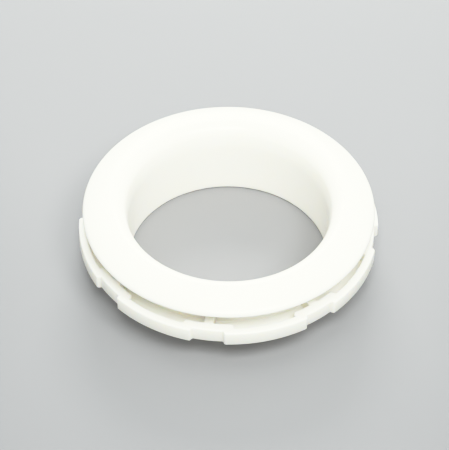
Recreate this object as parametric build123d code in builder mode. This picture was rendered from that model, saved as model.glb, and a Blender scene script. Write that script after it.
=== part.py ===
from build123d import *
from math import cos, radians, sin, sqrt
import os

# Cable grommet for a desk top: a flanged, threaded collar and the castellated lock ring
# that screws up its neck and clamps the desk top against the flange.
# Millimetres. The origin is the centre of the neck's lower end, and +Z points up the bore.

# --- collar -------------------------------------------------------------------------
flange_radius = 50.0          # outer edge of the flange
bore_radius = 34.5            # cable opening
neck_wall = 3.0               # wall between the bore and the root of the thread
flange_underside = 24.5       # height of the face that rests on the desk top
flange_rise = 4.3             # from that face to the crest of the flange
mouth_radius = 4.8            # rounding inside the crest
mouth_turn = 75               # how far it turns, in degrees, before it runs into the throat
throat_radius = 22.0          # slow curve from there down to the straight wall
edge_radius = 1.9             # rounding of the flange's outer edge, down to its underside
neck_end_chamfer = 0.8        # outside the neck's lower end
bore_end_radius = 1.2         # inside it
neck_root_radius = 0.6        # between the neck and the flange

root_land = 3.4               # width of the face left round the neck, inside the relief
edge_land = 4.2               # width of the face left inside the flange's edge
relief_depth = 1.2            # shallow recess between the two, under the flange
relief_corner_radius = 0.5

thread_pitch = 4.0
thread_depth = 1.3            # radial height of the neck's thread
thread_root_width = 2.6
thread_crest_width = 1.1
thread_bite = 0.3             # how far the thread's profile is sunk into the wall
thread_start = 1.6            # height of the thread's lowest point
thread_turns = 4.9

# --- lock ring ----------------------------------------------------------------------
ring_bottom = 12.6            # height of the lock ring's lower face in the stored pose
ring_height = 5.6
ring_floor = 1.5              # thickness of the floor under the pockets
ring_clearance = 0.3          # between the neck's thread crest and the ring's bore
sleeve_wall = 3.2             # inner sleeve that carries the ring's thread
groove_depth = 1.2            # radial depth of the ring's thread groove
groove_mouth_width = 2.4
groove_root_width = 1.0
groove_overrun = 1.0          # how far the groove's profile stands into the open bore

lobe_count = 8
lobe_phase = 14.7             # direction of one lobe's centre, degrees from +X
lobe_radius = 51.45           # outer face of the wall at a lobe
lobe_half_angle = 16.0
notch_radius = 50.15          # outer face of the wall between lobes
pocket_lobe_radius = 48.75    # inner face of the wall, which follows the outer face
pocket_lobe_half_angle = 12.3
pocket_notch_radius = 46.9
lobe_end_slant = 0.6          # by how many degrees a lobe widens towards its root
rib_width = 3.3
corner_radius = 0.5           # upright corners of lobes and pockets
rim_radius = 0.5              # every edge of the top face
ring_chamfer = 0.4            # lower outside edge, and both ends of the bore

# --- worked out from them -----------------------------------------------------------
neck_radius = bore_radius + neck_wall
thread_radius = neck_radius + thread_depth
crest_height = flange_underside + flange_rise
mouth_sine = sin(radians(mouth_turn))
mouth_cosine = cos(radians(mouth_turn))
crest_radius = bore_radius + throat_radius * (1 - mouth_sine) + mouth_radius * mouth_sine
mouth_end = (
    crest_radius - mouth_radius * mouth_sine,
    crest_height - mouth_radius * (1 - mouth_cosine),
)
throat_end = (bore_radius, mouth_end[1] - throat_radius * mouth_cosine)
relief_inner = neck_radius + root_land
relief_outer = flange_radius - edge_land
relief_roof = flange_underside + relief_depth
ring_top = ring_bottom + ring_height
ring_bore_radius = thread_radius + ring_clearance
sleeve_radius = ring_bore_radius + sleeve_wall
lobe_pitch = 360 / lobe_count


def arc_point(centre, radius, towards):
    """The point on a circle that lies in the direction of another point."""
    run = (towards[0] - centre[0], towards[1] - centre[1])
    reach = sqrt(run[0] ** 2 + run[1] ** 2)
    return (centre[0] + radius * run[0] / reach, centre[1] + radius * run[1] / reach)


# The top of the flange is an arc that leaves the crest level and runs tangent into the
# rounding of the outer edge.
edge_lowest = (flange_radius, flange_underside)
edge_centre = (flange_radius - edge_radius, flange_underside)
span = edge_centre[0] - crest_radius
dome_radius = (span ** 2 + flange_rise ** 2 - edge_radius ** 2) / (2 * (flange_rise - edge_radius))
dome_centre = (crest_radius, crest_height - dome_radius)
dome_end = arc_point(dome_centre, dome_radius, edge_centre)
chord_middle = ((crest_radius + dome_end[0]) / 2, crest_height)
dome_middle = arc_point(dome_centre, dome_radius, chord_middle)
edge_middle = arc_point(edge_centre, edge_radius, (flange_radius, dome_end[1]))


def thread_profile(path, base, tip, height, sunk):
    """Trapezoid square to a helix: base wide at the wall, tip wide at its height above the
    wall, and running on with the same flanks to the depth sunk behind it."""
    sunk_width = base + (base - tip) * sunk / height
    with BuildSketch(Plane(path @ 0, x_dir=(1, 0, 0), z_dir=path % 0)) as profile:
        with BuildLine():
            Polyline(
                (-sunk, -sunk_width / 2),
                (height, -tip / 2),
                (height, tip / 2),
                (-sunk, sunk_width / 2),
                close=True,
            )
        make_face()
    return profile.sketch


# --- collar: bell mouth, flange and threaded neck, one moulding ----------------------
with BuildPart() as collar:
    with BuildSketch(Plane.YZ):
        with BuildLine():
            Polyline(
                throat_end,
                (bore_radius, 0),
                (neck_radius - neck_end_chamfer, 0),
                (neck_radius, neck_end_chamfer),
                (neck_radius, flange_underside),
                (relief_inner, flange_underside),
                (relief_inner, relief_roof),
                (relief_outer, relief_roof),
                (relief_outer, flange_underside),
                edge_lowest,
            )
            ThreePointArc(edge_lowest, edge_middle, dome_end)
            ThreePointArc(dome_end, dome_middle, (crest_radius, crest_height))
            RadiusArc((crest_radius, crest_height), mouth_end, -mouth_radius)
            RadiusArc(mouth_end, throat_end, -throat_radius)
        make_face()
    revolve(axis=Axis.Z)
    bore_end = collar.edges().filter_by(GeomType.CIRCLE).group_by(Axis.Z)[0].sort_by(SortBy.RADIUS)[0]
    fillet(bore_end, bore_end_radius)
    fillet(collar.faces().filter_by(Axis.Z).sort_by(Axis.Z)[-1].edges(), relief_corner_radius)
    underside = collar.edges().filter_by(GeomType.CIRCLE).filter_by_position(
        Axis.Z, flange_underside, flange_underside
    )
    fillet(underside.sort_by(SortBy.RADIUS)[0], neck_root_radius)

    with BuildLine() as thread_path:
        Helix(
            thread_pitch,
            thread_pitch * thread_turns,
            neck_radius,
            center=(0, 0, thread_start + thread_root_width / 2),
        )
    ridge = thread_profile(
        thread_path.line, thread_root_width, thread_crest_width, thread_depth, thread_bite
    )
    sweep(ridge, path=thread_path.line, is_frenet=True)


# --- lock ring: castellated nut with an open-topped channel between eight ribs --------
def lobed_disc(base_radius, tip_radius, half_angle):
    """A disc with the eight lobes standing out of it."""
    root_half_angle = half_angle + lobe_end_slant
    with BuildSketch() as disc:
        Circle(base_radius)
        for lobe in range(lobe_count):
            middle = lobe_phase + lobe * lobe_pitch
            with BuildLine():
                tip = CenterArc((0, 0), tip_radius, middle - half_angle, 2 * half_angle)
                root = CenterArc((0, 0), base_radius, middle - root_half_angle, 2 * root_half_angle)
                Line(tip @ 0, root @ 0)
                Line(tip @ 1, root @ 1)
            make_face()
    return disc.sketch


with BuildPart() as lock_ring:
    with BuildSketch(Plane.XY.offset(ring_bottom)) as outline:
        add(lobed_disc(notch_radius, lobe_radius, lobe_half_angle))
        fillet(outline.vertices(), corner_radius)
    extrude(amount=ring_height)
    with BuildSketch(Plane.XY.offset(ring_top)) as pockets:
        add(lobed_disc(pocket_notch_radius, pocket_lobe_radius, pocket_lobe_half_angle))
        Circle(sleeve_radius, mode=Mode.SUBTRACT)
        with PolarLocations(0, lobe_count, lobe_phase + lobe_pitch / 2):
            Rectangle(
                2 * lobe_radius,
                rib_width,
                align=(Align.MIN, Align.CENTER),
                mode=Mode.SUBTRACT,
            )
        fillet(pockets.vertices(), corner_radius)
    extrude(amount=ring_floor - ring_height, mode=Mode.SUBTRACT)
    fillet(lock_ring.faces().filter_by(Axis.Z).sort_by(Axis.Z)[-1].edges(), rim_radius)
    chamfer(lock_ring.faces().sort_by(Axis.Z)[0].edges(), ring_chamfer)

    with BuildSketch(Plane.XY.offset(ring_bottom)):
        Circle(ring_bore_radius)
    extrude(amount=ring_height, mode=Mode.SUBTRACT)
    bore_ends = (
        lock_ring.edges()
        .filter_by(GeomType.CIRCLE)
        .filter_by(lambda edge: abs(edge.radius - ring_bore_radius) < ring_clearance)
    )
    chamfer(bore_ends, ring_chamfer)

    with BuildLine() as groove_path:
        Helix(
            thread_pitch,
            ring_height + 2 * thread_pitch,
            ring_bore_radius,
            center=(0, 0, ring_bottom - thread_pitch),
        )
    groove = thread_profile(
        groove_path.line, groove_mouth_width, groove_root_width, groove_depth, groove_overrun
    )
    sweep(groove, path=groove_path.line, is_frenet=True, mode=Mode.SUBTRACT)


collar.part.label = "collar"
lock_ring.part.label = "lock_ring"

os.makedirs("parts", exist_ok=True)
export_step(collar.part, "parts/collar.step")
export_step(lock_ring.part, "parts/lock_ring.step")
for piece in (collar.part, lock_ring.part):
    print(piece.label, len(piece.solids()), round(piece.volume), piece.bounding_box().size)
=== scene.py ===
import math

import bmesh
import bpy
from mathutils import Matrix, Vector


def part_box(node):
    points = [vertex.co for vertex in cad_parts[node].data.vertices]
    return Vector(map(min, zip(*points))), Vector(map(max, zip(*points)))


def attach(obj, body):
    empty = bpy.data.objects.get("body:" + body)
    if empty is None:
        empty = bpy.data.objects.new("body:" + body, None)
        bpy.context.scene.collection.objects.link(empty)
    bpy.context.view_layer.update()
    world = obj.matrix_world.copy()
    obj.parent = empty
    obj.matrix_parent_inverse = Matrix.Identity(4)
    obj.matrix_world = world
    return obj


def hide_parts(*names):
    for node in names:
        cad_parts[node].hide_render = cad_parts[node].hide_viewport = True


# A desk grommet: a flanged bell-mouth collar and the castellated lock ring round its neck.
# The object's lengths are in millimetres, and are scaled to metres where a mesh is made.
# The studio's are in metres.

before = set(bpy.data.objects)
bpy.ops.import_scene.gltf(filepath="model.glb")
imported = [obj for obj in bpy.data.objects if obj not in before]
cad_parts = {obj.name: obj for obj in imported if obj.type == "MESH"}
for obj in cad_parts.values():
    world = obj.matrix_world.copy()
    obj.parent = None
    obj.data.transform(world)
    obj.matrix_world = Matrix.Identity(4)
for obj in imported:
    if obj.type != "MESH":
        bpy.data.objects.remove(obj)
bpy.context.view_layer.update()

MM = 0.001                                    # metres in a millimetre
collar_low, collar_high = (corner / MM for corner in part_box("collar"))
ring_low, ring_high = (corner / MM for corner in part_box("lock_ring"))

# --- sizes --------------------------------------------------------------------------
TURN = 2 * math.pi
AROUND = 384                                  # steps round a full turn

FLANGE_RADIUS = collar_high.x
CREST_HEIGHT = collar_high.z
NECK_END = collar_low.z
BORE_RADIUS = 34.5
NECK_RADIUS = 37.5
FLANGE_UNDERSIDE = 24.5
MOUTH_RADIUS = 4.8                            # from the crest down to MOUTH_TURN degrees
MOUTH_TURN = 75
THROAT_RADIUS = 22.0                          # from there down to the straight wall
EDGE_RADIUS = 1.9
EDGE_START = 12                               # where that rounding begins, in degrees
EDGE_BREAK = 0.25                             # and the small one between it and the underside
NECK_END_RADIUS = 0.8
BORE_END_RADIUS = 1.2
NECK_ROOT_RADIUS = 0.6
RELIEF_INNER = NECK_RADIUS + 3.4
RELIEF_OUTER = FLANGE_RADIUS - 4.2
RELIEF_ROOF = FLANGE_UNDERSIDE + 1.2
RELIEF_CORNER = 0.5
RELIEF_EDGE = 0.3
THREAD_PITCH = 4.0
THREAD_DEPTH = 1.3
THREAD_START = 2.9                            # middle of the thread's lower end
THREAD_TURNS = 4.9
THREAD_END_SINK = THREAD_DEPTH + 0.25         # how far both its ends sink into the wall
THREAD_SECTION = [                            # out from the wall, and up
    (-0.4, -1.53), (0.0, -1.3), (1.15, -0.62), (1.3, -0.45),
    (1.3, 0.45), (1.15, 0.62), (0.0, 1.3), (-0.4, 1.53),
]

RING_BOTTOM = ring_low.z
RING_TOP = ring_high.z
RING_BORE_RADIUS = 39.1
SLEEVE_RADIUS = 42.3
RING_FLOOR = 1.5
LOBES = 8
LOBE_PITCH = TURN / LOBES
LOBE_PHASE = math.radians(14.7)
LOBE_RADIUS = ring_high.x
LOBE_HALF = math.radians(16.0)
NOTCH_RADIUS = 50.15
POCKET_LOBE_RADIUS = 48.75
POCKET_LOBE_HALF = math.radians(12.3)
POCKET_NOTCH_RADIUS = 46.9
END_SLANT = math.radians(0.6)
RIB_WIDTH = 3.3
CORNER_RADIUS = 0.5
RIM_RADIUS = 0.5
POCKET_RIM_RADIUS = 0.4
POCKET_FLOOR_BREAK = 0.25
RING_CHAMFER = 0.4
GROOVE_SECTION = [(-1.0, -1.78), (0.0, -1.2), (1.2, -0.5), (1.2, 0.5), (0.0, 1.2), (-1.0, 1.78)]

# --- how finely the meshes are made -------------------------------------------------
OVERRUN = 1                                   # how far a cutting tool stands past its cut
CORNER_STEPS = 6                              # round the corner of an outline
FILLET_STEPS = 7                              # round a corner of the collar's profile
QUARTER = [math.radians(15 * step) for step in range(7)]
SHARP_ANGLE = 32                              # degrees past which an edge is left hard
MERGE_DISTANCE = 1e-7                         # metres


# --- mesh tools ---------------------------------------------------------------------
def arc(centre, radius, start, end, steps):
    """Points on an arc, from start to end, in degrees from the first axis."""
    points = []
    for step in range(steps + 1):
        angle = math.radians(start + (end - start) * step / steps)
        points.append((centre[0] + radius * math.cos(angle), centre[1] + radius * math.sin(angle)))
    return points


def object_from(name, vertices, faces):
    mesh = bpy.data.meshes.new(name)
    mesh.from_pydata([Vector(v) * MM for v in vertices], [], faces)
    mesh.validate()
    work = bmesh.new()
    work.from_mesh(mesh)
    bmesh.ops.recalc_face_normals(work, faces=work.faces)
    work.to_mesh(mesh)
    work.free()
    piece = bpy.data.objects.new(name, mesh)
    bpy.context.scene.collection.objects.link(piece)
    return piece


def circle(radius, height):
    return [
        (radius * math.cos(TURN * step / AROUND), radius * math.sin(TURN * step / AROUND), height)
        for step in range(AROUND)
    ]


def bridge(rows, close_rows):
    """Faces between rows of equal length; each row is closed on itself."""
    count = len(rows[0])
    faces = []
    last = len(rows) if close_rows else len(rows) - 1
    for row in range(last):
        a = row * count
        b = ((row + 1) % len(rows)) * count
        for step in range(count):
            after = (step + 1) % count
            faces.append((a + step, a + after, b + after, b + step))
    return faces


def lathe(name, profile):
    """A closed (radius, height) outline turned about the Z axis."""
    rows = [circle(radius, height) for radius, height in profile]
    return object_from(name, [v for row in rows for v in row], bridge(rows, True))


def loft(name, rings):
    """A solid through rings of equal length, with flat ends."""
    count = len(rings[0])
    faces = bridge(rings, False)
    faces.append(tuple(reversed(range(count))))
    top = (len(rings) - 1) * count
    faces.append(tuple(range(top, top + count)))
    return object_from(name, [v for ring in rings for v in ring], faces)


def helix_bar(name, radius, start_height, turns, section, fade):
    """A bar of a given (radial, vertical) section along a helix. Over the first and last
    eighth of a turn, its ends sink by fade."""
    steps = int(AROUND / 2 * turns)
    fade_steps = AROUND / 16
    rings = []
    for step in range(steps + 1):
        angle = TURN * turns * step / steps
        height = start_height + THREAD_PITCH * angle / TURN
        ends = min(1.0, min(step, steps - step) / fade_steps)
        sink = fade * (1 - math.sin(ends * math.pi / 2))
        rings.append([
            (
                (radius + out - sink) * math.cos(angle),
                (radius + out - sink) * math.sin(angle),
                height + up,
            )
            for out, up in section
        ])
    return loft(name, rings)


def combine(target, tool, operation):
    modifier = target.modifiers.new("combine", "BOOLEAN")
    modifier.operation = operation
    modifier.solver = "EXACT"
    modifier.object = tool
    graph = bpy.context.evaluated_depsgraph_get()
    mesh = bpy.data.meshes.new_from_object(target.evaluated_get(graph))
    target.modifiers.clear()
    target.data = mesh
    bpy.data.objects.remove(tool)


def finish_mesh(piece):
    """Outward normals, smooth shading, and hard edges only where the surface turns sharply."""
    work = bmesh.new()
    work.from_mesh(piece.data)
    bmesh.ops.remove_doubles(work, verts=work.verts, dist=MERGE_DISTANCE)
    bmesh.ops.dissolve_degenerate(work, edges=work.edges, dist=MERGE_DISTANCE)
    bmesh.ops.recalc_face_normals(work, faces=work.faces)
    work.to_mesh(piece.data)
    work.free()
    piece.data.shade_smooth()
    piece.data.set_sharp_from_angle(angle=math.radians(SHARP_ANGLE))


# --- collar -------------------------------------------------------------------------
def collar_profile():
    """The collar's section, from the bore's lower end round the outside and over the crest."""
    turn = math.radians(MOUTH_TURN)
    crest = BORE_RADIUS + THROAT_RADIUS * (1 - math.sin(turn)) + MOUTH_RADIUS * math.sin(turn)
    edge = (FLANGE_RADIUS - EDGE_RADIUS, FLANGE_UNDERSIDE)
    span = edge[0] - crest
    rise = CREST_HEIGHT - FLANGE_UNDERSIDE
    dome = (span ** 2 + rise ** 2 - EDGE_RADIUS ** 2) / (2 * (rise - EDGE_RADIUS))
    dome_centre = (crest, CREST_HEIGHT - dome)
    meet = math.degrees(math.atan2(edge[1] - dome_centre[1], edge[0] - dome_centre[0]))

    def fillet(x, y, radius, start, end):
        return arc((x, y), radius, start, end, FILLET_STEPS)

    low = NECK_END + BORE_END_RADIUS
    bend = CREST_HEIGHT - MOUTH_RADIUS * (1 - math.cos(turn))
    high = bend - THROAT_RADIUS * math.cos(turn)
    corner, soft = RELIEF_CORNER, RELIEF_EDGE
    neck_end, root = NECK_END_RADIUS, NECK_ROOT_RADIUS
    points = fillet(BORE_RADIUS + BORE_END_RADIUS, low, BORE_END_RADIUS, 180, 270)
    points += fillet(NECK_RADIUS - neck_end, NECK_END + neck_end, neck_end, 270, 360)
    points += fillet(NECK_RADIUS + root, FLANGE_UNDERSIDE - root, root, 180, 90)
    points += fillet(RELIEF_INNER - soft, FLANGE_UNDERSIDE + soft, soft, 270, 360)
    points += fillet(RELIEF_INNER + corner, RELIEF_ROOF - corner, corner, 180, 90)
    points += fillet(RELIEF_OUTER - corner, RELIEF_ROOF - corner, corner, 90, 0)
    points += fillet(RELIEF_OUTER + soft, FLANGE_UNDERSIDE + soft, soft, 180, 270)
    lip = EDGE_BREAK
    points += fillet(FLANGE_RADIUS - lip, FLANGE_UNDERSIDE + lip, lip, 270, 360)
    points += arc(edge, EDGE_RADIUS, EDGE_START, meet, 14)
    points += arc(dome_centre, dome, meet, 90, 30)[1:]
    points += arc((crest, CREST_HEIGHT - MOUTH_RADIUS), MOUTH_RADIUS, 90, 90 + MOUTH_TURN, 30)[1:]
    points += arc((BORE_RADIUS + THROAT_RADIUS, high), THROAT_RADIUS, 90 + MOUTH_TURN, 180, 12)[1:]
    points += [(BORE_RADIUS, high + (low - high) * step / 12) for step in range(1, 12)]
    return points


def make_collar():
    collar = lathe("collar_shell", collar_profile())
    thread = helix_bar(
        "thread", NECK_RADIUS, THREAD_START, THREAD_TURNS, THREAD_SECTION, THREAD_END_SINK
    )
    combine(collar, thread, "UNION")
    finish_mesh(collar)
    return collar


# --- lock ring ----------------------------------------------------------------------
def polar(place):
    """The point at a (radius, angle) from the axis."""
    return Vector((place[0] * math.cos(place[1]), place[0] * math.sin(place[1])))


def turned(start, end):
    """The signed angle from start to end, the short way round."""
    return (end - start + math.pi) % TURN - math.pi


def same_radius(a, b):
    return abs(a[0] - b[0]) < 1e-9


def towards(corner, neighbour, distance):
    """The point a distance from a corner, on the way to its neighbour. On a straight run it
    stops short of the middle, so that two roundings don't meet."""
    if same_radius(corner, neighbour):
        way = math.copysign(distance / corner[0], turned(corner[1], neighbour[1]))
        return polar((corner[0], corner[1] + way))
    here, there = polar(corner), polar(neighbour)
    reach = min(distance, (there - here).length * 0.45)
    return here + (there - here).normalized() * reach


def rounded(corners, radius, height):
    """An outline with its (radius, angle) corners rounded. A run between two corners at
    the same radius is an arc about the axis."""
    points = []
    for index, corner in enumerate(corners):
        following = corners[(index + 1) % len(corners)]
        here = polar(corner)
        before = towards(corner, corners[index - 1], radius)
        after = towards(corner, following, radius)
        for step in range(CORNER_STEPS + 1):
            t = step / CORNER_STEPS
            points.append(before * (1 - t) ** 2 + here * 2 * t * (1 - t) + after * t ** 2)
        if same_radius(corner, following):
            sweep = turned(corner[1], following[1])
            trim = math.copysign(radius / corner[0], sweep)
            long_run = abs(sweep) > 0.3
            steps = 24 if long_run else 8
            for step in range(1, steps):
                angle = corner[1] + trim + (sweep - 2 * trim) * step / steps
                points.append(polar((corner[0], angle)))
    return [(x, y, height) for x, y in points]


def ring_outline(height, inset):
    """The castellated outline, moved in by inset."""
    tip = LOBE_RADIUS - inset
    base = NOTCH_RADIUS - inset
    corners = []
    for lobe in range(LOBES):
        middle = LOBE_PHASE + lobe * LOBE_PITCH
        corners += [
            (base, middle - LOBE_HALF - END_SLANT),
            (tip, middle - LOBE_HALF),
            (tip, middle + LOBE_HALF),
            (base, middle + LOBE_HALF + END_SLANT),
        ]
    return rounded(corners, CORNER_RADIUS, height)


def pocket_outline(middle, height, inset):
    """The outline of the cell centred on an angle, moved in by inset."""
    tip = POCKET_LOBE_RADIUS - inset
    base = POCKET_NOTCH_RADIUS - inset
    inner = SLEEVE_RADIUS + inset
    rib = RIB_WIDTH / 2 + inset
    half = LOBE_PITCH / 2
    tip_half = POCKET_LOBE_HALF - inset / tip
    root_half = POCKET_LOBE_HALF + END_SLANT - inset / base
    side = [
        (tip, tip_half),
        (base, root_half),
        (base, half - math.asin(rib / base)),
        (inner, half - math.asin(rib / inner)),
    ]
    corners = [(radius, middle - angle) for radius, angle in side]
    corners += [(radius, middle + angle) for radius, angle in reversed(side)]
    return rounded(corners, CORNER_RADIUS, height)


def pocket(cell):
    """One cell of the channel: between two ribs, wide behind a lobe and narrow beside it."""
    middle = LOBE_PHASE + cell * LOBE_PITCH
    floor = RING_BOTTOM + RING_FLOOR
    levels = [(floor, POCKET_FLOOR_BREAK), (floor + POCKET_FLOOR_BREAK, 0.0)]
    levels += [
        (RING_TOP - POCKET_RIM_RADIUS * (1 - math.sin(a)), -POCKET_RIM_RADIUS * (1 - math.cos(a)))
        for a in QUARTER
    ]
    levels += [(RING_TOP + OVERRUN, -POCKET_RIM_RADIUS)]
    return loft("pocket", [pocket_outline(middle, z, inset) for z, inset in levels])


def make_lock_ring():
    levels = [
        (RING_BOTTOM, RING_CHAMFER),
        (RING_BOTTOM + RING_CHAMFER * 0.35, RING_CHAMFER * 0.35),
        (RING_BOTTOM + RING_CHAMFER, 0.0),
    ]
    levels += [
        (RING_TOP - RIM_RADIUS * (1 - math.sin(a)), RIM_RADIUS * (1 - math.cos(a)))
        for a in QUARTER
    ]
    ring = loft("lock_ring_shell", [ring_outline(z, inset) for z, inset in levels])
    for cell in range(LOBES):
        combine(ring, pocket(cell), "DIFFERENCE")

    wide = RING_BORE_RADIUS + RING_CHAMFER + OVERRUN
    bore = loft("bore", [
        circle(wide, RING_BOTTOM - OVERRUN),
        circle(RING_BORE_RADIUS, RING_BOTTOM + RING_CHAMFER),
        circle(RING_BORE_RADIUS, RING_TOP - RING_CHAMFER),
        circle(wide, RING_TOP + OVERRUN),
    ])
    combine(ring, bore, "DIFFERENCE")
    turns = (RING_TOP - RING_BOTTOM) / THREAD_PITCH + 2
    start = RING_BOTTOM - THREAD_PITCH
    groove = helix_bar("groove", RING_BORE_RADIUS, start, turns, GROOVE_SECTION, 0)
    combine(ring, groove, "DIFFERENCE")
    finish_mesh(ring)
    return ring


# --- materials ----------------------------------------------------------------------
# Noise scales, in cells to a metre: a slow drift of tint, patches of gloss, and fine grain.
TINT_SCALE = 45
GLOSS_SCALE = 220
GRAIN_SCALE = 2600
PLASTIC = (0.955, 0.915, 0.825)
PLASTIC_DEEPER = (0.945, 0.902, 0.805)
COLLAR_ROUGHNESS = 0.22
RING_ROUGHNESS = 0.32


def noise(nodes, links, place, scale, detail):
    texture = nodes.new("ShaderNodeTexNoise")
    texture.inputs["Scale"].default_value = scale
    texture.inputs["Detail"].default_value = detail
    links.new(place.outputs["Object"], texture.inputs["Vector"])
    return texture.outputs["Fac"]


def moulded_plastic(name, roughness):
    """White plastic that lets a little light in. Its tint and gloss drift slightly."""
    material = bpy.data.materials.new(name)
    material.use_nodes = True
    nodes, links = material.node_tree.nodes, material.node_tree.links
    shader = nodes["Principled BSDF"]
    place = nodes.new("ShaderNodeTexCoord")

    tint = nodes.new("ShaderNodeValToRGB")
    tint.color_ramp.elements[0].position = 0.3
    tint.color_ramp.elements[0].color = (*PLASTIC_DEEPER, 1)
    tint.color_ramp.elements[1].position = 0.7
    tint.color_ramp.elements[1].color = (*PLASTIC, 1)
    links.new(noise(nodes, links, place, TINT_SCALE, 4), tint.inputs["Fac"])
    links.new(tint.outputs["Color"], shader.inputs["Base Color"])

    gloss = nodes.new("ShaderNodeMapRange")
    gloss.inputs["To Min"].default_value = roughness - 0.05
    gloss.inputs["To Max"].default_value = roughness + 0.06
    links.new(noise(nodes, links, place, GLOSS_SCALE, 6), gloss.inputs["Value"])
    links.new(gloss.outputs["Result"], shader.inputs["Roughness"])

    bump = nodes.new("ShaderNodeBump")
    bump.inputs["Strength"].default_value = 0.06
    bump.inputs["Distance"].default_value = 0.0002
    links.new(noise(nodes, links, place, GRAIN_SCALE, 3), bump.inputs["Height"])
    links.new(bump.outputs["Normal"], shader.inputs["Normal"])

    shader.inputs["IOR"].default_value = 1.49
    shader.inputs["Subsurface Weight"].default_value = 0.7
    shader.inputs["Subsurface Radius"].default_value = (1.0, 0.85, 0.6)
    shader.inputs["Subsurface Scale"].default_value = 0.002
    return material


# --- pieces -------------------------------------------------------------------------
collar_white = moulded_plastic("collar_white", COLLAR_ROUGHNESS)
ring_white = moulded_plastic("ring_white", RING_ROUGHNESS)

collar = make_collar()
collar.data.materials.append(collar_white)
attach(collar, "collar")
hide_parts("collar")

lock_ring = make_lock_ring()
lock_ring.data.materials.append(ring_white)
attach(lock_ring, "lock_ring")
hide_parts("lock_ring")


# --- studio -------------------------------------------------------------------------
LIGHT_COLOUR = (0.95, 1.0, 0.985)
PAPER_DARKER = (0.259, 0.254, 0.259)
PAPER_LIGHTER = (0.268, 0.263, 0.268)
SOFTBOXES = [
    # name, heading and height in degrees, distance and size in metres, power in watts
    ("key", 0, 60, 1.2, 0.3, 8.8),
    ("key_low", 0, 48, 1.2, 0.3, 2.8),
    ("key_right", 35, 56, 1.2, 0.35, 7.2),
    ("back", 180, 30, 0.6, 0.3, 3.8),
    ("back_high", 180, 60, 1.2, 0.4, 0.5),
    ("back_right", 145, 45, 1.2, 0.4, 0.8),
    ("right", 100, 35, 1.2, 0.4, 0.6),
    ("top", 0, 90, 1.2, 0.5, 2.1),
]
# Brightness values at which the tone curve is given a point, where 1 is a plain white.
TONE_POINTS = (0.25, 0.5, 0.6, 0.7, 0.85, 1.0, 1.2, 1.4, 1.7, 2.0, 2.5, 3.0)


def studio_floor():
    half = 3.0
    mesh = bpy.data.meshes.new("floor")
    corners = [(-half, -half, 0), (half, -half, 0), (half, half, 0), (-half, half, 0)]
    mesh.from_pydata(corners, [], [(0, 1, 2, 3)])
    floor = bpy.data.objects.new("floor", mesh)
    bpy.context.scene.collection.objects.link(floor)
    material = bpy.data.materials.new("floor_paper")
    material.use_nodes = True
    nodes, links = material.node_tree.nodes, material.node_tree.links
    shader = nodes["Principled BSDF"]
    shader.inputs["Roughness"].default_value = 0.75
    shader.inputs["Specular IOR Level"].default_value = 0.2
    place = nodes.new("ShaderNodeTexCoord")
    ramp = nodes.new("ShaderNodeValToRGB")
    ramp.color_ramp.elements[0].color = (*PAPER_DARKER, 1)
    ramp.color_ramp.elements[1].color = (*PAPER_LIGHTER, 1)
    links.new(noise(nodes, links, place, 6, 2), ramp.inputs["Fac"])

    # Painted shade: the floor's colour darkens outside an oval that lies behind the grommet,
    # in place of the light falling off, so from the front its near corners are darker.
    oval = nodes.new("ShaderNodeMapping")
    oval.inputs["Location"].default_value = (0, -0.2, 0)
    oval.inputs["Scale"].default_value = (2.5, 1, 0)
    links.new(place.outputs["Object"], oval.inputs["Vector"])
    reach = nodes.new("ShaderNodeVectorMath")
    reach.operation = "LENGTH"
    links.new(oval.outputs["Vector"], reach.inputs[0])
    painted_falloff = nodes.new("ShaderNodeMapRange")
    painted_falloff.interpolation_type = "SMOOTHSTEP"
    painted_falloff.inputs["From Min"].default_value = 0.22
    painted_falloff.inputs["From Max"].default_value = 0.40
    painted_falloff.inputs["To Min"].default_value = 1.0
    painted_falloff.inputs["To Max"].default_value = 0.77
    links.new(reach.outputs["Value"], painted_falloff.inputs["Value"])
    shade = nodes.new("ShaderNodeVectorMath")
    shade.operation = "SCALE"
    links.new(ramp.outputs["Color"], shade.inputs[0])
    links.new(painted_falloff.outputs["Result"], shade.inputs["Scale"])
    links.new(shade.outputs["Vector"], shader.inputs["Base Color"])
    mesh.materials.append(material)


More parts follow.
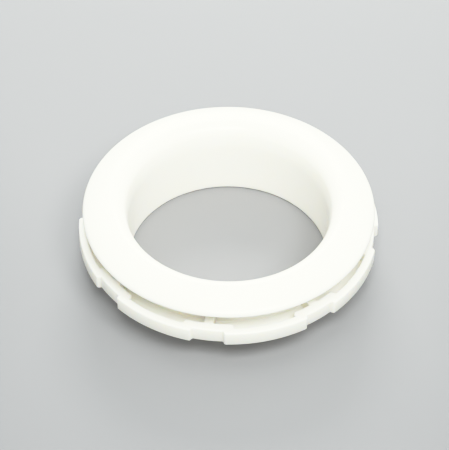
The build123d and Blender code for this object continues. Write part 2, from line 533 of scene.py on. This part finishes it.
def softbox(name, heading, height, distance, size, power):
    """A square light aimed at the grommet. Heading 0 is the camera's side, 90 its right."""
    across, up = math.radians(heading), math.radians(height)
    place = distance * Vector((
        math.sin(across) * math.cos(up), -math.cos(across) * math.cos(up), math.sin(up)
    ))
    light = bpy.data.lights.new(name, "AREA")
    light.shape = "SQUARE"
    light.size = size
    light.energy = power
    light.color = LIGHT_COLOUR
    lamp = bpy.data.objects.new(name, light)
    lamp.location = place
    lamp.rotation_euler = (-place).to_track_quat("-Z", "Y").to_euler()
    bpy.context.scene.collection.objects.link(lamp)


def studio_camera():
    """Looks down from the front at 46 degrees, close to the centre of the ring's underside."""
    elevation = math.radians(46)
    distance = 0.8
    roll = math.radians(0.34)
    right = Vector((1, 0, 0))
    up = Vector((0, math.sin(elevation), math.cos(elevation)))
    away = Vector((0, -math.cos(elevation), math.sin(elevation)))
    aim_right, aim_up = -0.0014, 0.0027
    focus = Vector((0, 0, RING_BOTTOM * MM)) + right * aim_right + up * aim_up
    data = bpy.data.cameras.new("camera")
    data.lens = 185
    data.sensor_width = 36
    data.clip_start = 0.01
    camera = bpy.data.objects.new("camera", data)
    turn = Matrix.Rotation(roll, 3, away)
    basis = Matrix((turn @ right, turn @ up, away)).transposed()
    camera.matrix_world = Matrix.Translation(focus + away * distance) @ basis.to_4x4()
    bpy.context.scene.collection.objects.link(camera)
    bpy.context.scene.camera = camera


def studio_world():
    world = bpy.data.worlds.new("studio")
    world.use_nodes = True
    background = world.node_tree.nodes["Background"]
    background.inputs["Color"].default_value = (*LIGHT_COLOUR, 1)
    background.inputs["Strength"].default_value = 0.84
    bpy.context.scene.world = world


def studio_tones():
    """Highlights above mid grey roll off softly, as on film, so that white keeps its shape.
    Blue stops a little short of full, which leaves the brightest white slightly warm."""
    knee, reach = 0.5, 4.0
    view = bpy.context.scene.view_settings
    view.view_transform = "Standard"
    view.use_curve_mapping = True
    tones = view.curve_mapping
    tones.white_level = (reach, reach, reach)
    for curve, ceiling in zip(tones.curves, (1.0, 1.0, 0.96)):
        curve.points[0].location = (0, 0)
        curve.points[1].location = (1, ceiling)
        room = ceiling - knee
        for light in TONE_POINTS:
            shown = light
            if light > knee:
                shown = knee + room * (1 - math.exp((knee - light) / room))
            curve.points.new(light / reach, shown)
        for point in curve.points:
            point.handle_type = "AUTO_CLAMPED"
    tones.update()


studio_floor()
studio_camera()
studio_world()
for name, heading, height, distance, size, power in SOFTBOXES:
    softbox(name, heading, height, distance, size, power)
studio_tones()
